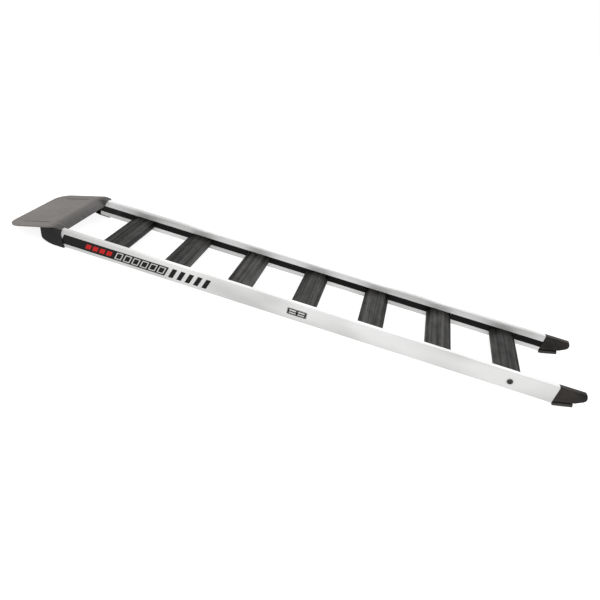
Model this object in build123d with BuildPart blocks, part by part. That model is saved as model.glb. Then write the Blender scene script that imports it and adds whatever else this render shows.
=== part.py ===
from build123d import *
import math
import os

# A ladder-type loading ramp, lying flat. X runs along the rails, from the lip at -X to the
# feet at +X, Y runs across, and z = 0 is the surface under the lowest edge of the foot pads.
# Sizes are in millimetres and degrees. Heights named *_h are above the rails' underside.

# overall
overall_length = 2097.0
rail_span = 320.0  # over the outer faces of the two rails
foot_drop = 7.0  # the foot pads reach this far below the rails
rest_slope = 15.2  # incline at which the lip and the foot pads lie level
gap = 0.3  # clearance between fitted pieces

# rails
rail_height = 68.0
rail_thickness = 22.0
rail_wall = 2.4
rail_crown_radius = 6.0
rail_base_radius = 2.5
rail_start_x = -852.0
rail_end_x = 956.0
channel_h = 17.5  # floor of the channel that takes the rung ends
channel_height = 26.2

# rungs
rung_count = 7
rung_pitch = 244.0
first_rung_x = -659.0
rung_width = 92.0
rung_rise = 24.7
rung_edge = 11.5  # height of the upright sides below the arched top
rung_wall = 3.2
rung_web = 3.0
rung_web_offset = 27.0
rung_boss_radius = 6.6
rung_ridge_width = 4.0
rung_ridge_height = 0.9
rung_rib_radius = 0.8
rung_rib_pitch = 5.5

# bolts that tie the last rung to the rails
bolt_h = 31.5
bolt_radius = 3.9
bolt_length = 26.0
bolt_head_radius = 10.0
bolt_head_height = 4.5
bolt_socket_radius = 3.0
bolt_socket_depth = 2.6

# channel spacers
spacer_recess = 1.2
spacer_web = 2.5
spacer_flange = 2.0

# lip plate
lip_thickness = 4.6
lip_half_width = 164.0
lip_front_h = 17.7
lip_corner_radius = 52.0
lip_bend_x = -872.0  # where the flat tongue starts to roll over
lip_bend_radius = 50.0
lip_bend_exit = 35.0
lip_rear_x = -822.0
lip_edge_radius = 1.4
lip_land_x = -980.0  # the raised land underneath, which bears on the tailgate
lip_land_size = (100.0, 290.0)
lip_land_radius = 36.0
lip_land_thickness = 1.2
lip_groove_x = -948.0
lip_groove_y = 122.0
lip_groove_length = 110.0
lip_groove_width = 5.0
lip_groove_depth = 1.2

# saddles, where the lip runs on over the rail ends
saddle_rise = 4.3
saddle_rear_thickness = 2.8
saddle_web = 3.6

# brackets that carry the lip on the rail ends
cheek_thickness = 3.7
flange_thickness = 2.4
bracket_front_x = -905.0
bracket_rear_x = -825.0
bracket_wall = 3.6
tongue_end_x = -763.0

# foot caps and pads
cap_proud = 1.0
cap_plug_length = 36.0
pad_front_x = 961.0
pad_length = 61.0
pad_thickness = 16.5
pad_neck = 2.2
pad_neck_inset = 1.6

# small screws under the rails
screw_radius = 2.4
screw_head_radius = 4.6
screw_head_height = 2.6
bracket_screw_xs = (-842.0, -826.0)
cap_screw_x = 938.5

# printed film on the rail faces
film = 0.3
decal_start_x = -813.0
decal_end_x = -425.0
decal_low_h = 13.5
decal_high_h = 52.0
decal_slant = 16.0
decal_bar_count = 5
decal_bar_width = 17.0
decal_bar_pitch = 31.5
label_x = 65.0
label_h = 33.0
label_length = 71.0
label_height = 26.0

# worked out from the above
slope = math.radians(rest_slope)
lip_front_x = -overall_length / 2
nose_x = overall_length / 2
rail_z = foot_drop
rail_outer_y = rail_span / 2
rail_inner_y = rail_outer_y - rail_thickness
rail_mid_y = rail_outer_y - rail_thickness / 2
channel_top_h = channel_h + channel_height
channel_mid_z = rail_z + channel_h + channel_height / 2
last_rung_x = first_rung_x + (rung_count - 1) * rung_pitch
rung_low_z = rail_z + channel_h + gap
rung_half_length = rail_outer_y - rail_wall - gap
sides = {"left": -1, "right": 1}


def save(part, name):
    """Labels a finished piece and writes it as its own STEP file."""
    part.label = name
    export_step(part, f"parts/{name}.step")


def lip_top_h(x):
    """Height of the flat tongue's upper face above the rails' underside."""
    return lip_front_h + (x - lip_front_x) * math.tan(slope)


def lip_plane(x, y):
    """A plane on the tongue's flat upper face, with its X up the slope."""
    return Plane(
        origin=(x, y, rail_z + lip_top_h(x)),
        x_dir=(math.cos(slope), 0, math.sin(slope)),
        z_dir=(-math.sin(slope), 0, math.cos(slope)),
    )


def face_plane(side, x=0.0, h=0.0):
    """A plane on a rail's outer face, upright, with its normal pointing outwards."""
    return Plane(
        origin=(x, side * rail_outer_y, rail_z + h),
        x_dir=(1, 0, 0) if side < 0 else (-1, 0, 0),
        z_dir=(0, side, 0),
    )


def side_profile(side, y):
    """An upright plane along X, at distance y from the middle, for outlines in X and Z."""
    return Plane(origin=(0, side * y, rail_z), x_dir=(1, 0, 0), z_dir=(0, -1, 0))


def chamber(side, low_h, high_h, radius, inset=0.0):
    """Cuts or fills one of the two closed chambers in a rail's section."""
    with Locations((side * rail_mid_y, rail_z + (low_h + high_h) / 2)):
        RectangleRounded(
            rail_thickness - 2 * rail_wall - 2 * inset,
            high_h - low_h - 2 * inset,
            radius,
            mode=Mode.SUBTRACT if inset == 0 else Mode.ADD,
        )


def both_chambers(side, inset=0.0):
    """The chambers above and below the channel."""
    upper = (channel_top_h + rail_wall, rail_height - rail_wall)
    lower = (rail_wall, channel_h - rail_wall)
    chamber(side, *upper, rail_crown_radius - rail_wall, inset)
    chamber(side, *lower, rail_base_radius - gap, inset)


def make_rail(side):
    """Hollow extruded rail with a channel along its inner face."""
    with BuildPart() as rail:
        with BuildSketch(Plane.YZ.offset(rail_start_x)) as section:
            with Locations((side * rail_mid_y, rail_z + rail_height / 2)):
                Rectangle(rail_thickness, rail_height)
            fillet(section.vertices().group_by(Axis.Y)[-1], rail_crown_radius)
            fillet(section.vertices().group_by(Axis.Y)[0], rail_base_radius)
            both_chambers(side)
            channel_depth = rail_thickness - rail_wall
            with Locations((side * (rail_inner_y + channel_depth / 2 - 1), channel_mid_z)):
                Rectangle(channel_depth + 2, channel_height, mode=Mode.SUBTRACT)
        extrude(amount=rail_end_x - rail_start_x)
        with BuildSketch(face_plane(side, last_rung_x, bolt_h)):
            Circle(bolt_radius + 0.1)
        extrude(amount=-2 * rail_wall, mode=Mode.SUBTRACT)
        for x in (*bracket_screw_xs, cap_screw_x):
            with BuildSketch(Plane.XY.offset(rail_z - 1)):
                with Locations((x, side * rail_mid_y)):
                    Circle(screw_radius + 0.1)
            extrude(amount=rail_wall + 2, mode=Mode.SUBTRACT)
    return rail.part


def rung_crown_z(offset_x):
    """Height of a rung's arched top at a distance from its centre line."""
    rise = rung_rise - rung_edge
    half = rung_width / 2
    radius = (half**2 + rise**2) / (2 * rise)
    return rung_low_z + rung_rise - radius + math.sqrt(radius**2 - offset_x**2)


def make_rung(x):
    """Extruded rung: arched top with a centre ridge and fine ribs, hollow, with a screw boss."""
    half = rung_width / 2
    rib_count = int((half - 5.0) / rung_rib_pitch)
    with BuildPart() as rung:
        with BuildSketch(Plane.XZ.offset(-rung_half_length)):
            with BuildLine():
                Polyline(
                    (x - half, rung_low_z + rung_edge),
                    (x - half, rung_low_z),
                    (x + half, rung_low_z),
                    (x + half, rung_low_z + rung_edge),
                )
                ThreePointArc(
                    (x + half, rung_low_z + rung_edge),
                    (x, rung_low_z + rung_rise),
                    (x - half, rung_low_z + rung_edge),
                )
            make_face()
            offset(amount=-rung_wall, kind=Kind.INTERSECTION, mode=Mode.SUBTRACT)
            web_height = rung_crown_z(rung_web_offset) - rung_low_z - rung_wall / 2
            with Locations(
                (x - rung_web_offset, rung_low_z + web_height / 2),
                (x + rung_web_offset, rung_low_z + web_height / 2),
            ):
                Rectangle(rung_web, web_height)
            with Locations((x, rail_z + bolt_h)):
                Circle(rung_boss_radius)
                Circle(bolt_radius + 0.1, mode=Mode.SUBTRACT)
            with Locations((x, rung_low_z + 4)):
                Rectangle(rung_web, 8)
            for step in range(1, rib_count + 1):
                for sign in (-1, 1):
                    offset_x = sign * step * rung_rib_pitch
                    with Locations((x + offset_x, rung_crown_z(offset_x))):
                        Circle(rung_rib_radius)
            with Locations((x, rung_low_z + rung_rise)):
                Rectangle(rung_ridge_width, 2 * rung_ridge_height)
        extrude(amount=2 * rung_half_length)
    return rung.part


def channel_liner(side):
    """The C-shaped section that closes the rail's channel, open towards the rail's web."""
    depth = rail_thickness - rail_wall - spacer_recess - gap
    height = channel_height - 2 * gap
    mid_y = rail_inner_y + spacer_recess + depth / 2
    with Locations((side * mid_y, channel_mid_z)):
        Rectangle(depth, height)
    with Locations((side * (mid_y + spacer_web), channel_mid_z)):
        Rectangle(depth, height - 2 * spacer_flange, mode=Mode.SUBTRACT)


def make_spacer(side, start_x, end_x):
    """Channel spacer that keeps two neighbouring rungs apart."""
    with BuildPart() as spacer:
        with BuildSketch(Plane.YZ.offset(start_x + gap)):
            channel_liner(side)
        extrude(amount=end_x - start_x - 2 * gap)
    return spacer.part


def saddle_outline(side, y, under):
    """Side outline of the lip above a rail's end, closed through the given lower corners."""
    start_x = lip_bend_x - 6
    with BuildSketch(side_profile(side, y)) as outline:
        with BuildLine():
            top = Spline(
                (start_x, lip_top_h(start_x)),
                (rail_start_x + 12, rail_height + saddle_rise),
                (bracket_rear_x, rail_height + saddle_rear_thickness),
                tangents=((math.cos(slope), math.sin(slope)), (1, -0.1)),
            )
            Polyline(top @ 1, *under, top @ 0)
        make_face()
    return outline.sketch


def make_lip():
    """Tongue that rests on the tailgate; runs over the rail ends and rolls down between them."""
    along = (math.cos(slope), math.sin(slope))
    drop = lip_thickness / math.cos(slope)
    turn = rest_slope + lip_bend_exit
    bend_h = lip_top_h(lip_bend_x)
    inner_x = lip_bend_x + lip_thickness * math.sin(slope)
    inner_h = bend_h - lip_thickness * math.cos(slope)
    with BuildPart() as lip:
        with BuildSketch(side_profile(-1, 0)):
            with BuildLine():
                top = Line((lip_front_x, lip_front_h), (lip_bend_x, bend_h))
                outer = JernArc(top @ 1, along, lip_bend_radius, -turn)
                fall = math.tan(math.radians(lip_bend_exit)) * (lip_rear_x - (outer @ 1).X)
                rear = Line(outer @ 1, (lip_rear_x, (outer @ 1).Y - fall))
                under = Line((lip_front_x, lip_front_h - drop), (inner_x, inner_h))
                inner = JernArc(under @ 1, along, lip_bend_radius - lip_thickness, -turn)
                low_fall = math.tan(math.radians(lip_bend_exit)) * (lip_rear_x - (inner @ 1).X)
                low_rear = Line(inner @ 1, (lip_rear_x, (inner @ 1).Y - low_fall))
                Line(top @ 0, under @ 0)
                Line(rear @ 1, low_rear @ 1)
            make_face()
        extrude(amount=lip_half_width, both=True)
        with BuildSketch(Plane.XY) as plan:
            with BuildLine():
                Polyline(
                    (lip_rear_x, -rail_inner_y + 2 * gap),
                    (rail_start_x - gap, -rail_inner_y + 2 * gap),
                    (rail_start_x - gap, -lip_half_width),
                    (lip_front_x, -lip_half_width),
                    (lip_front_x, lip_half_width),
                    (rail_start_x - gap, lip_half_width),
                    (rail_start_x - gap, rail_inner_y - 2 * gap),
                    (lip_rear_x, rail_inner_y - 2 * gap),
                    close=True,
                )
            make_face()
            fillet(plan.vertices().group_by(Axis.X)[0], lip_corner_radius)
        extrude(amount=2 * rail_height, mode=Mode.INTERSECT)
        fillet(lip.faces().sort_by(Axis.X)[0].edges().filter_by(Axis.Y), lip_edge_radius)
        web_y = rail_inner_y - 2 * gap - saddle_web
        over_rail = [
            (bracket_rear_x, rail_height + gap),
            (rail_start_x - gap, rail_height + gap),
            (rail_start_x - gap, rail_height - 2.4),
            (lip_bend_x, bend_h - lip_thickness + 0.6),
        ]
        beside_rail = [(bracket_rear_x, (low_rear @ 1).Y + 2), (inner_x, inner_h)]
        for side in sides.values():
            outwards = (0, side, 0)
            extrude(saddle_outline(side, web_y, over_rail), lip_half_width - web_y, outwards)
            extrude(saddle_outline(side, web_y, beside_rail), saddle_web, outwards)
            with BuildSketch(lip_plane(lip_groove_x, side * lip_groove_y)):
                SlotOverall(lip_groove_length, lip_groove_width)
            extrude(amount=-lip_groove_depth, mode=Mode.SUBTRACT)
        with BuildSketch(lip_plane(lip_land_x, 0).offset(-lip_thickness)):
            RectangleRounded(*lip_land_size, lip_land_radius)
        extrude(amount=-lip_land_thickness)
    return lip.part


def bracket_outline(side, y, inset=0.0):
    """A bracket's nose, seen from the side; inset gives the pocket inside it."""
    top_gap = lip_thickness / math.cos(slope) + gap + inset
    front_x = bracket_front_x + inset
    back_x = rail_start_x - 4
    low_h = inset - gap - flange_thickness
    with BuildSketch(side_profile(side, y)) as nose:
        with BuildLine():
            Polyline(
                (front_x + 3, 19 + inset / 2),
                (front_x, lip_top_h(front_x) - top_gap),
                (back_x, lip_top_h(back_x) - top_gap - 2.8),
                (back_x, low_h),
            )
            Spline(
                (back_x, low_h),
                (front_x + 17, 5 + inset / 2),
                (front_x + 3, 19 + inset / 2),
                tangents=((-1, 0.1), (-0.2, 1)),
            )
        make_face()
    return nose.sketch


def make_bracket(side):
    """Bracket on a rail's end: cheek, lower flange, hollow nose and channel tongue."""
    width = rail_outer_y + cheek_thickness - rail_inner_y
    flange_h = -gap - flange_thickness
    outwards = (0, side, 0)
    with BuildPart() as bracket:
        extrude(bracket_outline(side, rail_inner_y), amount=width, dir=outwards)
        pocket = bracket_outline(side, rail_inner_y - 1, bracket_wall)
        extrude(pocket, amount=width + 1 - bracket_wall, dir=outwards, mode=Mode.SUBTRACT)
        with BuildSketch(side_profile(side, rail_inner_y)):
            with BuildLine():
                Polyline(
                    (bracket_rear_x + 6, rail_height),
                    (rail_start_x, rail_height),
                    (rail_start_x, rail_height - 6),
                    (rail_start_x - 4.5, rail_height - 6),
                    (rail_start_x - 4.5, flange_h),
                    (bracket_rear_x + 11, flange_h),
                )
                Spline(
                    (bracket_rear_x + 11, flange_h),
                    (bracket_rear_x + 6, 20),
                    (bracket_rear_x, 48),
                    (bracket_rear_x + 6, rail_height),
                )
            make_face()
        extrude(amount=width, dir=outwards)
        with BuildSketch(Plane.YZ.offset(rail_start_x - gap)):
            with Locations((side * (rail_mid_y - 1), rail_z + rail_height / 2)):
                Rectangle(rail_thickness + 2 + 2 * gap, rail_height + 2 * gap)
        extrude(amount=2 * rail_height, mode=Mode.SUBTRACT)
        with BuildSketch(Plane.YZ.offset(rail_start_x - 4)):
            channel_liner(side)
        extrude(amount=tongue_end_x - rail_start_x + 4 - gap)
        with BuildSketch(Plane.XY.offset(rail_z + flange_h - 1)):
            with Locations([(x, side * rail_mid_y) for x in bracket_screw_xs]):
                Circle(screw_radius + 0.1)
        extrude(amount=flange_thickness + 1.5, mode=Mode.SUBTRACT)
    return bracket.part


def pad_low_h(x):
    """Height of a pad's tread above the rails' underside."""
    return (x - pad_front_x) * math.tan(slope) - foot_drop


def make_foot_cap(side):
    """Moulded cap on a rail's foot, with two plugs inside the rail."""
    pad_top = pad_thickness / math.cos(slope)
    pad_end_x = pad_front_x + pad_length
    start_x = rail_end_x + gap
    with BuildPart() as cap:
        with BuildSketch(side_profile(side, rail_inner_y - cap_proud)) as outline:
            with BuildLine():
                Polyline(
                    (start_x, rail_height + cap_proud),
                    (start_x, pad_low_h(start_x) + pad_top),
                    (pad_end_x - 1, pad_low_h(pad_end_x - 1) + pad_top),
                    (nose_x - 5, 42),
                    (nose_x, 50),
                    (nose_x, 60),
                    (nose_x - 5, rail_height + cap_proud),
                    close=True,
                )
            make_face()
            fillet(outline.vertices().group_by(Axis.X)[-1].sort_by(Axis.Y)[0], 3)
            fillet(outline.vertices().group_by(Axis.Y)[-1].sort_by(Axis.X)[-1], 5)
        extrude(amount=rail_thickness + 2 * cap_proud, dir=(0, side, 0))
        crown = cap.edges().filter_by(Axis.X).group_by(Axis.Z)[-1]
        fillet(crown, rail_crown_radius)
        with BuildSketch(Plane.YZ.offset(start_x)):
            both_chambers(side, inset=gap)
        extrude(amount=-cap_plug_length)
        with BuildSketch(Plane.XY.offset(rail_z)):
            with Locations((cap_screw_x, side * rail_mid_y)):
                Circle(screw_radius + 0.1)
        extrude(amount=channel_h - 2 * rail_wall, mode=Mode.SUBTRACT)
    return cap.part


def make_foot_pad(side):
    """Rubber pad bonded under a foot cap, narrower where it meets the cap."""
    middle = Plane(
        origin=(pad_front_x, side * rail_mid_y, 0),
        x_dir=(math.cos(slope), 0, math.sin(slope)),
        z_dir=(-math.sin(slope), 0, math.cos(slope)),
    )
    length = pad_length / math.cos(slope)
    width = rail_thickness + 2 * cap_proud
    with BuildPart() as pad:
        with BuildSketch(middle):
            with Locations((length / 2, 0)):
                RectangleRounded(length, width, 3)
        extrude(amount=pad_thickness - pad_neck)
        with BuildSketch(middle.offset(pad_thickness - pad_neck)):
            with Locations((length / 2, 0)):
                RectangleRounded(length - 2 * pad_neck_inset, width - 2 * pad_neck_inset, 2)
        extrude(amount=pad_neck - gap)
    return pad.part


def make_rung_bolts():
    """Button-head bolts through the rails into the last rung's screw boss."""
    with BuildPart() as bolts:
        for side in sides.values():
            seat = face_plane(side, last_rung_x, bolt_h)
            with BuildSketch(seat):
                Circle(bolt_head_radius)
            extrude(amount=bolt_head_height)
            rim = bolts.edges().filter_by(GeomType.CIRCLE).sort_by(Axis.Y)
            fillet(rim[-1] if side > 0 else rim[0], bolt_head_height - 1.2)
            with BuildSketch(seat.offset(bolt_head_height)):
                RegularPolygon(bolt_socket_radius, 6)
            extrude(amount=-bolt_socket_depth, mode=Mode.SUBTRACT)
            with BuildSketch(seat):
                Circle(bolt_radius)
            extrude(amount=-bolt_length)
    return bolts.part


def make_screws(xs, head_top_h, length):
    """Pan-head screws driven upwards, at the same places under both rails."""
    with BuildPart() as screws:
        places = [(x, side * rail_mid_y) for x in xs for side in sides.values()]
        with BuildSketch(Plane.XY.offset(rail_z + head_top_h - screw_head_height)):
            with Locations(places):
                Circle(screw_head_radius)
        extrude(amount=screw_head_height)
        with BuildSketch(Plane.XY.offset(rail_z + head_top_h)):
            with Locations(places):
                Circle(screw_radius)
        extrude(amount=length)
    return screws.part


def slanted(start, end, low, high):
    """A band with both ends slanted forwards."""
    Polygon(
        (start, low),
        (end, low),
        (end + decal_slant, high),
        (start + decal_slant, high),
        align=None,
    )


def make_decal(side):
    """Printed film on a rail's outer face: a dark band that breaks up into slanted bars."""
    with BuildPart() as decal:
        with BuildSketch(face_plane(side)):
            ends = [(decal_start_x - decal_slant, decal_end_x)]
            for number in range(1, decal_bar_count + 1):
                bar_x = decal_end_x + number * decal_bar_pitch - decal_bar_width
                ends.append((bar_x, bar_x + decal_bar_width))
            for start, end in ends:
                if side > 0:
                    start, end = -end - decal_slant, -start - decal_slant
                slanted(start, end, decal_low_h, decal_high_h)
            keep_x = (decal_start_x + decal_end_x) / 2
            with Locations((-side * keep_x, (decal_low_h + decal_high_h) / 2)):
                keep_length = decal_end_x - decal_start_x + 4 * decal_bar_count * decal_bar_pitch
                Rectangle(keep_length, rail_height, mode=Mode.INTERSECT)
        extrude(amount=film)
    return decal.part


def make_label():
    """Rounded load label on the left rail."""
    with BuildPart() as label:
        with BuildSketch(face_plane(sides["left"], label_x, label_h)):
            RectangleRounded(label_length, label_height, 4)
        extrude(amount=film)
    return label.part


def spacer_spans():
    """Start and end of each channel spacer, from the bracket tongue to the foot cap."""
    half = rung_width / 2
    starts = [tongue_end_x] + [first_rung_x + n * rung_pitch + half for n in range(rung_count)]
    ends = [first_rung_x + n * rung_pitch - half for n in range(rung_count)] + [rail_end_x]
    return list(zip(starts, ends))


os.makedirs("parts", exist_ok=True)

save(make_lip(), "lip_plate")
for number in range(rung_count):
    save(make_rung(first_rung_x + number * rung_pitch), f"rung_{number + 1}")
for name, side in sides.items():
    save(make_rail(side), f"{name}_rail")
    save(make_bracket(side), f"{name}_lip_bracket")
    save(make_foot_cap(side), f"{name}_foot_cap")
    save(make_foot_pad(side), f"{name}_foot_pad")
    save(make_decal(side), f"{name}_decal")
    for number, (start_x, end_x) in enumerate(spacer_spans(), start=1):
        save(make_spacer(side, start_x, end_x), f"{name}_spacer_{number}")
save(make_rung_bolts(), "rung_bolts")
save(make_screws(bracket_screw_xs, -gap - flange_thickness, 12), "bracket_screws")
save(make_screws([cap_screw_x], 0.0, 11), "cap_screws")
save(make_label(), "load_label")
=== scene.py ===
import math

import bpy
from mathutils import Matrix, Vector


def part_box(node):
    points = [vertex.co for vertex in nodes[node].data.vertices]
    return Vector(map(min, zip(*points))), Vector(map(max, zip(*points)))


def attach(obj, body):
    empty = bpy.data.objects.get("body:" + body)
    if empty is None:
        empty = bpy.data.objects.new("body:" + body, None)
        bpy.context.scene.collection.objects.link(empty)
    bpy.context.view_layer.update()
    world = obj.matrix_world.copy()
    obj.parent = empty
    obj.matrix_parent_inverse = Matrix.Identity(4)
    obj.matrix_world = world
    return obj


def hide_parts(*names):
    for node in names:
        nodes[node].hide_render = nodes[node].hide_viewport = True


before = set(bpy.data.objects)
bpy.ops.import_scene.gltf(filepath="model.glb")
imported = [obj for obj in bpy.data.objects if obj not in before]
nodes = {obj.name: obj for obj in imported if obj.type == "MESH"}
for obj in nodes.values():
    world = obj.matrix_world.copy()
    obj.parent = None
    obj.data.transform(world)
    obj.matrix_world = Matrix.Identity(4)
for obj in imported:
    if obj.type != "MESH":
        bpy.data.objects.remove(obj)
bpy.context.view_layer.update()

# ---------------------------------------------------------------- materials


def new_material(name):
    """A node material: itself, its tree, its shader and a texture coordinate in metres."""
    material = bpy.data.materials.new(name)
    material.use_nodes = True
    tree = material.node_tree
    shader = tree.nodes["Principled BSDF"]
    place = tree.nodes.new("ShaderNodeTexCoord")
    return material, tree, shader, place.outputs["Object"]


def noise(tree, place, scale, stretch=(1, 1, 1), detail=4.0):
    """Noise whose scale is in bumps per metre, times a stretch along each axis."""
    mapping = tree.nodes.new("ShaderNodeMapping")
    mapping.inputs["Scale"].default_value = stretch
    tree.links.new(place, mapping.inputs["Vector"])
    texture = tree.nodes.new("ShaderNodeTexNoise")
    texture.inputs["Scale"].default_value = scale
    texture.inputs["Detail"].default_value = detail
    texture.inputs["Roughness"].default_value = 0.55
    tree.links.new(mapping.outputs["Vector"], texture.inputs["Vector"])
    return texture.outputs["Fac"]


def spread(tree, value, low, high, source=(0.3, 0.7)):
    """A value spread over a range of numbers."""
    node = tree.nodes.new("ShaderNodeMapRange")
    node.inputs["From Min"].default_value = source[0]
    node.inputs["From Max"].default_value = source[1]
    node.inputs["To Min"].default_value = low
    node.inputs["To Max"].default_value = high
    tree.links.new(value, node.inputs["Value"])
    return node.outputs["Result"]


def tint(tree, value, dark, light):
    """A colour between two, by a value."""
    node = tree.nodes.new("ShaderNodeMix")
    node.data_type = "RGBA"
    node.inputs["A"].default_value = (*dark, 1)
    node.inputs["B"].default_value = (*light, 1)
    tree.links.new(value, node.inputs["Factor"])
    return node.outputs["Result"]


def add(tree, a, b, weight):
    """Two values added, the second with a weight."""
    node = tree.nodes.new("ShaderNodeMath")
    node.operation = "MULTIPLY_ADD"
    node.inputs[1].default_value = weight
    tree.links.new(b, node.inputs[0])
    tree.links.new(a, node.inputs[2])
    return node.outputs["Value"]


def bump(tree, shader, height, distance, strength=0.6):
    """Relief of a given depth in metres."""
    node = tree.nodes.new("ShaderNodeBump")
    node.inputs["Distance"].default_value = distance
    node.inputs["Strength"].default_value = strength
    tree.links.new(height, node.inputs["Height"])
    tree.links.new(node.outputs["Normal"], shader.inputs["Normal"])


def aluminium():
    """Satin extruded aluminium: die lines along the rail, slow bands and soft smudges."""
    material, tree, shader, place = new_material("aluminium")
    lines = noise(tree, place, 1.0, (1.2, 900, 900), detail=3)
    bands = noise(tree, place, 1.0, (3.4, 9, 9), detail=1)
    smudge = noise(tree, place, 9, (0.6, 2, 2))
    value = spread(tree, add(tree, bands, lines, 0.25), 0, 1, (0.48, 0.76))
    tone = tint(tree, value, (0.47, 0.47, 0.465), (0.64, 0.64, 0.635))
    tree.links.new(tone, shader.inputs["Base Color"])
    shader.inputs["Metallic"].default_value = 0.3
    rough = spread(tree, add(tree, smudge, lines, 0.4), 0.46, 0.62, (0.5, 0.9))
    tree.links.new(rough, shader.inputs["Roughness"])
    bump(tree, shader, lines, 0.00004)
    return material


def rung_plastic():
    """Extruded dark plastic: streaks along the rung, dusty scuffs, a dull sheen."""
    material, tree, shader, place = new_material("rung_plastic")
    lines = noise(tree, place, 1.0, (520, 2.5, 520), detail=3)
    bands = noise(tree, place, 1.0, (95, 1.6, 95), detail=2)
    dust = noise(tree, place, 45, (1, 0.5, 1))
    value = add(tree, add(tree, bands, lines, 0.5), dust, 0.45)
    share = spread(tree, value, 0, 1, (0.82, 1.22))
    tone = tint(tree, share, (0.002, 0.002, 0.0018), (0.043, 0.0405, 0.038))
    tree.links.new(tone, shader.inputs["Base Color"])
    tree.links.new(spread(tree, value, 0.52, 0.38, (0.8, 1.2)), shader.inputs["Roughness"])
    shader.inputs["Specular IOR Level"].default_value = 0.11
    bump(tree, shader, add(tree, lines, dust, 0.3), 0.00012)
    return material


ROLL_SHADE_X = (-0.882, -0.838)  # the lip turns from its own grey to a darker painted shade between these, over the roll that faces away from the light
ROLL_SHADE_TONE = (0.038, 0.035, 0.034, 1)


def lip_plastic():
    """Moulded grey plastic: fine grain, scuffs, and a darker band of painted shade where the lip rolls
    over, away from the light.
    """
    material, tree, shader, place = new_material("lip_plastic")
    drift = noise(tree, place, 9)
    fine = noise(tree, place, 1500, detail=2)
    scuff = noise(tree, place, 50, (1, 3, 1))
    share = spread(tree, add(tree, drift, scuff, 0.3), 0, 1, (0.45, 0.85))
    tone = tint(tree, share, (0.106, 0.097, 0.091), (0.137, 0.126, 0.119))
    parts = tree.nodes.new("ShaderNodeSeparateXYZ")
    tree.links.new(place, parts.inputs["Vector"])
    # painted shade: the colour darkens towards +x, over the roll that faces away from the light
    roll_shade = spread(tree, parts.outputs["X"], 0, 1, ROLL_SHADE_X)
    shade = tree.nodes.new("ShaderNodeMix")
    shade.data_type = "RGBA"
    shade.inputs["B"].default_value = ROLL_SHADE_TONE
    tree.links.new(roll_shade, shade.inputs["Factor"])
    tree.links.new(tone, shade.inputs["A"])
    tree.links.new(shade.outputs["Result"], shader.inputs["Base Color"])
    tree.links.new(spread(tree, scuff, 0.48, 0.66), shader.inputs["Roughness"])
    shader.inputs["Specular IOR Level"].default_value = 0.3
    bump(tree, shader, add(tree, fine, scuff, 0.3), 0.00012)
    return material


def plastic(name, dark, light, rough, specular, grain=1400, streak=(1, 1, 1)):
    """Moulded or extruded plastic: fine grain, slow colour drift, scuffed sheen."""
    material, tree, shader, place = new_material(name)
    drift = noise(tree, place, 14)
    fine = noise(tree, place, grain, detail=2)
    scuff = noise(tree, place, 60, streak)
    tone = tint(tree, spread(tree, add(tree, drift, scuff, 0.35), 0, 1, (0.45, 0.9)), dark, light)
    tree.links.new(tone, shader.inputs["Base Color"])
    sheen = spread(tree, scuff, rough - 0.07, rough + 0.1)
    tree.links.new(sheen, shader.inputs["Roughness"])
    shader.inputs["Specular IOR Level"].default_value = specular
    bump(tree, shader, add(tree, fine, scuff, 0.3), 0.00012)
    return material


def ink(name, colour, rough=0.35):
    """Printed film: an even colour with a slight orange-peel surface."""
    material, tree, shader, place = new_material(name)
    peel = noise(tree, place, 500, detail=2)
    darker = tuple(c * 0.8 for c in colour)
    tree.links.new(tint(tree, spread(tree, peel, 0, 1), darker, colour), shader.inputs["Base Color"])
    tree.links.new(spread(tree, peel, rough - 0.05, rough + 0.1), shader.inputs["Roughness"])
    shader.inputs["Specular IOR Level"].default_value = 0.12
    bump(tree, shader, peel, 0.00003, 0.4)
    return material


BLACK_LOW, BLACK_HIGH = (0.002, 0.002, 0.002), (0.006, 0.006, 0.006)
ALUMINIUM = aluminium()
RUNG = rung_plastic()
SPACER = plastic("spacer_plastic", BLACK_LOW, BLACK_HIGH, 0.5, 0.09, streak=(1, 20, 20))
LIP = lip_plastic()
BRACKET = plastic("bracket_plastic", (0.003, 0.003, 0.003), (0.013, 0.013, 0.0125), 0.45, 0.14)
CAP = plastic("cap_plastic", (0.005, 0.0048, 0.0045), (0.031, 0.027, 0.024), 0.45, 0.12)
RUBBER = plastic("pad_rubber", (0.026, 0.025, 0.024), (0.052, 0.050, 0.048), 0.7, 0.2, grain=700)
# near-black, dull neck colour: painted shade for the shaded gap between the foot cap and the rubber pad
PAD_NECK_SHADE = plastic("pad_neck_painted_shade", BLACK_LOW, BLACK_HIGH, 0.8, 0.05, grain=700)
STEEL = plastic("black_steel", (0.008, 0.008, 0.008), (0.018, 0.018, 0.018), 0.32, 0.4)
INK_BLACK = ink("ink_black", (0.006, 0.006, 0.006))
INK_RED = ink("ink_red", (0.46, 0.012, 0.010))
INK_LIGHT = ink("ink_light", (0.55, 0.55, 0.54), 0.45)


def paint(node, material):
    """Gives a CAD node's own mesh a better material."""
    mesh = nodes[node].data
    mesh.materials.clear()
    mesh.materials.append(material)


for name in nodes:
    if name.endswith("_rail"):
        paint(name, ALUMINIUM)
    elif name.endswith(("_bolts", "_screws")):
        paint(name, STEEL)
    elif name.startswith("rung_"):
        paint(name, RUNG)
    elif "_spacer_" in name:
        paint(name, SPACER)
    elif name.endswith("_lip_bracket"):
        paint(name, BRACKET)
    elif name.endswith("_foot_cap"):
        paint(name, CAP)

# ---------------------------------------------------------------- pieces


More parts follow.
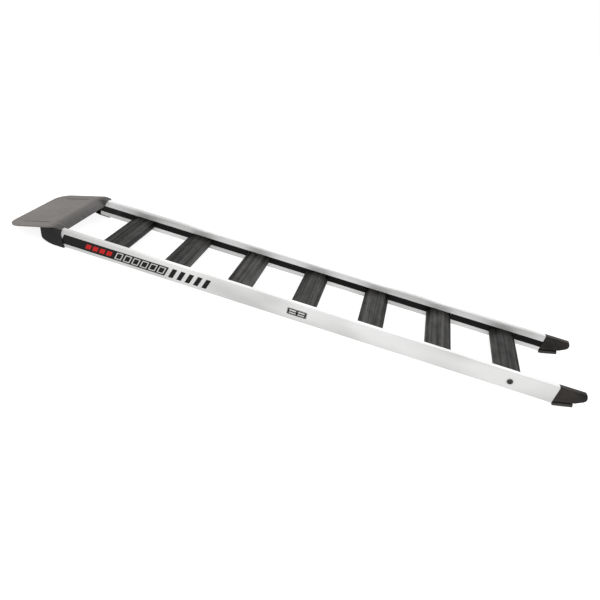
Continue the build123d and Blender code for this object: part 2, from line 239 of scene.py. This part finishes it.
def make_piece(name, verts, faces, material, stands_for, smooth=False):
    """A mesh object of the ramp that rides on its one body."""
    mesh = bpy.data.meshes.new(name)
    mesh.from_pydata([tuple(v) for v in verts], [], faces)
    mesh.update()
    mesh.materials.append(material)
    for polygon in mesh.polygons:
        polygon.use_smooth = smooth
    piece = bpy.data.objects.new(name, mesh)
    bpy.context.scene.collection.objects.link(piece)
    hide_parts(stands_for)
    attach(piece, "root")
    return piece


def soften(piece, width):
    """Rounds a piece's sharp edges."""
    bevel = piece.modifiers.new("soft edges", "BEVEL")
    bevel.width = width
    bevel.segments = 3
    bevel.limit_method = "ANGLE"
    bevel.angle_limit = math.radians(50)


def smoothstep(low, high, value):
    """0 below low, 1 above high, and a smooth turn between."""
    t = min(max((value - low) / (high - low), 0.0), 1.0)
    return t * t * (3 - 2 * t)


lip_low, lip_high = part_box("lip_plate")
rail_low, rail_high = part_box("left_rail")
SLOPE = math.radians(15.2)  # of the tongue and the foot pads against the rails
ALONG_SLOPE = Vector((math.cos(SLOPE), 0, math.sin(SLOPE)))
UP_FROM_SLOPE = Vector((-math.sin(SLOPE), 0, math.cos(SLOPE)))

# The tongue, and the roll between the rails
LIP_FRONT_TOP = 0.0247
LIP_THICK = 0.0044
LIP_CORNER = 0.052
LIP_REAR = -0.8235
LIP_EDGE_SOFT = 0.0013
BEND_X = -0.872
BEND_RADIUS = 0.050
BEND_EXIT = math.radians(35)
BEND_LEAD = 0.012  # the closer mesh rows start this far before the roll
TONGUE_STEPS = 14
BEND_STEPS = 30
CORNER_DEPTHS = (0.0, 0.0018, 0.0045, 0.008, 0.0125, 0.018, 0.024, 0.031, 0.039, 0.047, LIP_CORNER)

# Across the lip, from its middle outwards
MIDDLE_HALF = 0.110
MIDDLE_STEPS = 22
GROOVE_ROWS = [0.1150, 0.1175, 0.1190, 0.1203, 0.1212, 0.1220, 0.1228, 0.1237, 0.1250, 0.1270]
OUTER_ROWS = [0.1295, 0.1320, 0.1345, 0.1370, 0.1410, 0.1460, 0.1520, 0.1570, 0.1608, lip_high.y]

# The saddles that carry the lip on over the rail ends
SADDLE_EDGE = (0.119, 0.1365)
SADDLE_RISE = 0.0044
SADDLE_FALL = 0.07
SADDLE_X = -0.845
SADDLE_BLEND = 0.003

# The grooves, and the land under the tongue
GROOVE_Y = 0.122
GROOVE_WIDTH = 0.0028
GROOVE_DEPTH = 0.0034
GROOVE_START = (-1.004, -0.994)
GROOVE_END = (-0.902, -0.890)
LAND_X = -0.980
LAND_SIZE = (0.100, 0.290)
LAND_RADIUS = 0.036
LAND_THICK = 0.0014


def tongue_z(x):
    """Height of the tongue's flat face."""
    return LIP_FRONT_TOP + (x - lip_low.x) * math.tan(SLOPE)


def middle_z(x):
    """Height of the lip between the rails, where it rolls over and down."""
    centre_x = BEND_X + BEND_RADIUS * math.sin(SLOPE)
    centre_z = tongue_z(BEND_X) - BEND_RADIUS * math.cos(SLOPE)
    leave_x = centre_x + BEND_RADIUS * math.sin(BEND_EXIT)
    if x < BEND_X:
        return tongue_z(x)
    if x < leave_x:
        return centre_z + math.sqrt(BEND_RADIUS**2 - (x - centre_x) ** 2)
    return centre_z + BEND_RADIUS * math.cos(BEND_EXIT) - (x - leave_x) * math.tan(BEND_EXIT)


def saddle_z(x):
    """Height of the lip above the rail ends."""
    fall = rail_high.z + SADDLE_RISE - SADDLE_FALL * (x - SADDLE_X)
    rise = tongue_z(x)
    blend = max(SADDLE_BLEND - abs(rise - fall), 0.0) / SADDLE_BLEND
    return min(rise, fall) - blend * blend * SADDLE_BLEND / 4


def lip_z(x, y):
    """Height of the lip's upper face, with its two lengthwise grooves."""
    over = smoothstep(*SADDLE_EDGE, abs(y))
    z = middle_z(x) + over * (saddle_z(x) - middle_z(x))
    along = smoothstep(*GROOVE_START, x) * (1 - smoothstep(*GROOVE_END, x))
    across = math.exp(-(((abs(y) - GROOVE_Y) / GROOVE_WIDTH) ** 2))
    return z - GROOVE_DEPTH * along * across


def half_width(x):
    """Half the lip's width, narrowing round the front corners."""
    depth = x - lip_low.x
    if depth >= LIP_CORNER:
        return lip_high.y
    return lip_high.y - LIP_CORNER + math.sqrt(LIP_CORNER**2 - (LIP_CORNER - depth) ** 2)


def evenly(start, end, steps):
    """Evenly spaced values after start, up to and with end."""
    return [start + (end - start) * n / steps for n in range(1, steps + 1)]


def make_lip():
    """The moulded lip: flat tongue, rolled down between the rails and carried on over them."""
    xs = [lip_low.x + depth for depth in CORNER_DEPTHS]
    xs += evenly(xs[-1], BEND_X - BEND_LEAD, TONGUE_STEPS)
    xs += evenly(xs[-1], LIP_REAR, BEND_STEPS)
    right = GROOVE_ROWS + OUTER_ROWS
    middle = [-MIDDLE_HALF] + evenly(-MIDDLE_HALF, MIDDLE_HALF, MIDDLE_STEPS)
    ys = [-y for y in reversed(right)] + middle + right
    verts, faces = [], []
    for x in xs:
        squeeze = half_width(x) / lip_high.y
        verts += [(x, y * squeeze, lip_z(x, y * squeeze)) for y in ys]
    count = len(ys)
    for i in range(len(xs) - 1):
        for j in range(count - 1):
            a = i * count + j
            faces.append((a, a + count, a + count + 1, a + 1))
    piece = make_piece("lip", verts, faces, LIP, "lip_plate", smooth=True)
    wall = piece.modifiers.new("wall", "SOLIDIFY")
    wall.thickness = LIP_THICK
    wall.offset = -1.0
    soften(piece, LIP_EDGE_SOFT)


def slab(centre, along, across, normal, size, radius, thickness, corner_steps=6):
    """Verts and faces of a plate with rounded corners and softened rim, raised along normal."""
    outline = []
    for quarter, (sign_a, sign_b) in enumerate(((1, 1), (-1, 1), (-1, -1), (1, -1))):
        for step in range(corner_steps + 1):
            turn = math.pi / 2 * (quarter + step / corner_steps)
            a = sign_a * (size[0] / 2 - radius) + radius * math.cos(turn)
            b = sign_b * (size[1] / 2 - radius) + radius * math.sin(turn)
            outline.append((a, b))
    soft = min(thickness * 0.4, 0.0008)
    rings = [
        (0.0, 0.0),
        (0.0, thickness - soft),
        (soft * 0.3, thickness - soft * 0.3),
        (soft, thickness),
    ]
    verts, faces = [], []
    for inset, lift in rings:
        shrink_a = 1 - 2 * inset / size[0]
        shrink_b = 1 - 2 * inset / size[1]
        for a, b in outline:
            verts.append(centre + along * a * shrink_a + across * b * shrink_b + normal * lift)
    count = len(outline)
    for ring in range(len(rings) - 1):
        low = ring * count
        for n in range(count):
            m = (n + 1) % count
            faces.append((low + n, low + m, low + count + m, low + count + n))
    faces.append(tuple(reversed(range(count))))
    faces.append(tuple(range((len(rings) - 1) * count, len(rings) * count)))
    return verts, faces


def make_land():
    """The raised land under the tongue."""
    down = -UP_FROM_SLOPE
    across = Vector((0, -1, 0))
    centre = Vector((LAND_X, 0, tongue_z(LAND_X))) + down * LIP_THICK
    verts, faces = slab(
        centre, ALONG_SLOPE, across, down, LAND_SIZE, LAND_RADIUS, LAND_THICK, corner_steps=10
    )
    make_piece("lip_land", verts, faces, LIP, "lip_plate", smooth=True)


PAD_FRONT = 0.961
PAD_Y = 0.149  # from the ramp's middle to the pad's
PAD_SIZE = (0.061 / math.cos(SLOPE), 0.024)
PAD_LAYERS = (  # name, lift, thickness, inset, corner radius, material
    ("block", 0.0, 0.0105, 0.0, 0.003, RUBBER),
    # the neck's near-black colour is painted shade, for the gap under the foot cap
    ("neck", 0.0100, 0.0064, 0.0026, 0.002, PAD_NECK_SHADE),
)


def make_foot_pad(prefix, side):
    """Rubber foot that lies flat on the incline: a block, and a narrower neck above it, coloured
    near-black as painted shade for the gap under the cap.
    """
    across = UP_FROM_SLOPE.cross(ALONG_SLOPE)
    base = Vector((PAD_FRONT, side * PAD_Y, 0)) + ALONG_SLOPE * PAD_SIZE[0] / 2
    for name, lift, thickness, inset, radius, material in PAD_LAYERS:
        size = (PAD_SIZE[0] - 2 * inset, PAD_SIZE[1] - 2 * inset)
        centre = base + UP_FROM_SLOPE * lift
        verts, faces = slab(centre, ALONG_SLOPE, across, UP_FROM_SLOPE, size, radius, thickness)
        piece_name = f"{prefix}_pad_{name}"
        make_piece(piece_name, verts, faces, material, f"{prefix}_foot_pad")


def prisms(shapes, side, low, high):
    """Verts and faces of flat shapes on a rail's outer face, given as corners in x and z."""
    verts, faces = [], []
    outer = side * -rail_low.y
    for shape in shapes:
        first = len(verts)
        count = len(shape)
        for depth in (low, high):
            verts += [(x, outer + side * depth, z) for x, z in shape]
        for n in range(count):
            m = (n + 1) % count
            faces.append((first + n, first + m, first + count + m, first + count + n))
        faces.append(tuple(first + n for n in range(count)))
        faces.append(tuple(first + count + n for n in reversed(range(count))))
    return verts, faces


def film_piece(name, shapes, side, low, high, material, stands_for):
    """A layer of printed film made of flat shapes."""
    verts, faces = prisms(shapes, side, low, high)
    make_piece(name, verts, faces, material, stands_for)


DECAL_LOW, DECAL_HIGH = 0.0205, 0.0590
DECAL_RISE = DECAL_HIGH - DECAL_LOW
SLANT = 0.016
BAND = (-0.829, -0.425)
LOOSE_BARS = (-0.4105, 0.0170, 0.0315, 5)  # start of the first, width, pitch, count
RED_BARS = (-0.7350, 0.0195, 0.0268, 4)
LIGHT_BARS = (-0.6195, 0.0250, 0.0325, 6)


def slanted(start, end, low=0.0, high=0.0, trim=0.0):
    """Corners of a slanted bar between two x; low, high and trim pull its edges in."""
    z0, z1 = DECAL_LOW + low, DECAL_HIGH - high
    lean0, lean1 = SLANT * low / DECAL_RISE, SLANT * (1 - high / DECAL_RISE)
    return [
        (start + trim + lean0, z0),
        (end - trim + lean0, z0),
        (end - trim + lean1, z1),
        (start + trim + lean1, z1),
    ]


def bar_row(row, *pulled_in):
    """A row of equal slanted bars."""
    first, width, pitch, count = row
    starts = [first + n * pitch for n in range(count)]
    return [slanted(start, start + width, *pulled_in) for start in starts]


def make_decal(prefix, side):
    """Dark band with red slashes and outlined bars, then loose bars, on a rail's outer face."""
    layers = (
        ("band", [slanted(*BAND)] + bar_row(LOOSE_BARS), 0.0, 0.0003, INK_BLACK),
        ("red", bar_row(RED_BARS, 0.009, 0.010), 0.0002, 0.00042, INK_RED),
        ("light", bar_row(LIGHT_BARS, 0.005, 0.005), 0.0002, 0.00038, INK_LIGHT),
        ("inner", bar_row(LIGHT_BARS, 0.0085, 0.0085, 0.0036), 0.0003, 0.00046, INK_BLACK),
    )
    for name, shapes, low, high, material in layers:
        film_piece(
            f"{prefix}_decal_{name}", shapes, side, low, high, material, f"{prefix}_decal"
        )


LABEL_X, LABEL_Z = 0.065, 0.040
LABEL_LAYERS = (  # name, size, corner radius, height above the rail, material
    ("plate", (0.0710, 0.0260), 0.0040, 0.0000, INK_BLACK),
    ("border", (0.0685, 0.0235), 0.0030, 0.0001, INK_LIGHT),
    ("field", (0.0668, 0.0218), 0.0024, 0.0002, INK_BLACK),
)
LABEL_FILM = 0.0003
LABEL_COLUMNS = (-0.0155, 0.0155)
LABEL_ROWS = ((0.0048, 0.0028), (-0.0048, 0.0022))  # height of each row's middle, half its bars' height
LABEL_BAR_HALF = 0.012


def make_label():
    """Load label: dark plate with a thin light border and four light bars in place of words."""
    centre = Vector((LABEL_X, rail_low.y, LABEL_Z))
    along, across, out = Vector((1, 0, 0)), Vector((0, 0, 1)), Vector((0, -1, 0))
    for name, size, radius, low, material in LABEL_LAYERS:
        verts, faces = slab(centre + out * low, along, across, out, size, radius, LABEL_FILM)
        make_piece(f"label_{name}", verts, faces, material, "load_label")
    bars = []
    for column in LABEL_COLUMNS:
        x0, x1 = LABEL_X + column - LABEL_BAR_HALF, LABEL_X + column + LABEL_BAR_HALF
        for row, half in LABEL_ROWS:
            z0, z1 = LABEL_Z + row - half, LABEL_Z + row + half
            bars.append([(x0, z0), (x1, z0), (x1, z1), (x0, z1)])
    film_piece("label_bars", bars, -1, 0.0004, 0.00058, INK_LIGHT, "load_label")


make_lip()
make_land()
for prefix, side in (("left", -1), ("right", 1)):
    make_decal(prefix, side)
    make_foot_pad(prefix, side)
make_label()

# ---------------------------------------------------------------- stage


def area_light(name, place, target, size, power):
    """A soft rectangular light that looks at a point."""
    data = bpy.data.lights.new(name, "AREA")
    data.shape = "RECTANGLE"
    data.size, data.size_y = size
    data.energy = power
    light = bpy.data.objects.new(name, data)
    light.location = place
    direction = Vector(target) - Vector(place)
    light.rotation_euler = direction.to_track_quat("-Z", "Y").to_euler()
    bpy.context.scene.collection.objects.link(light)


def make_floor():
    """A wide pale floor under the ramp."""
    bpy.ops.mesh.primitive_plane_add(size=60)
    floor = bpy.context.object
    floor.name = "floor"
    material, _, shader, _ = new_material("floor")
    shader.inputs["Base Color"].default_value = (0.32, 0.32, 0.32, 1)
    shader.inputs["Roughness"].default_value = 0.9
    shader.inputs["Specular IOR Level"].default_value = 0.1
    shader.inputs["Emission Color"].default_value = (1, 1, 1, 1)
    shader.inputs["Emission Strength"].default_value = 0.84
    floor.data.materials.append(material)


def make_world():
    """An even white surround."""
    world = bpy.data.worlds.new("studio")
    world.use_nodes = True
    background = world.node_tree.nodes["Background"]
    background.inputs["Color"].default_value = (1, 1, 1, 1)
    background.inputs["Strength"].default_value = 1.0
    bpy.context.scene.world = world


def make_camera(place, forward, up, lens):
    """A camera from its place, its view direction and its up direction."""
    data = bpy.data.cameras.new("camera")
    data.lens = lens
    data.sensor_width = 36
    camera = bpy.data.objects.new("camera", data)
    forward = Vector(forward).normalized()
    right = forward.cross(Vector(up)).normalized()
    up = right.cross(forward)
    turn = Matrix((right, up, -forward)).transposed()
    camera.matrix_world = Matrix.Translation(place) @ turn.to_4x4()
    bpy.context.scene.collection.objects.link(camera)
    bpy.context.scene.camera = camera


CAMERA_PLACE = (0.2248, -1.6080, 1.0364)
CAMERA_FORWARD = (-0.0924, 0.8349, -0.5426)
CAMERA_UP = (-0.3004, 0.4961, 0.8146)
CAMERA_LENS = 30.91
LIGHTS = (  # name, place, the point it looks at, size, power in watts
    ("key", (-1.6, -0.9, 2.4), (-0.3, 0, 0), (1.6, 1.6), 9),
    ("back", (0.2, 3.0, 2.2), (0, 0, 0), (4.4, 1.6), 80),
    ("pool", (0.0, -0.8, 0.6), (0.0, -0.30, 0), (0.3, 0.2), 0.9),
    ("pool_far", (0.72, -0.8, 0.6), (0.72, -0.30, 0), (0.25, 0.2), 0.8),
)

make_floor()
make_world()
for light in LIGHTS:
    area_light(*light)
make_camera(CAMERA_PLACE, CAMERA_FORWARD, CAMERA_UP, CAMERA_LENS)
bpy.context.scene.view_settings.view_transform = "Standard"
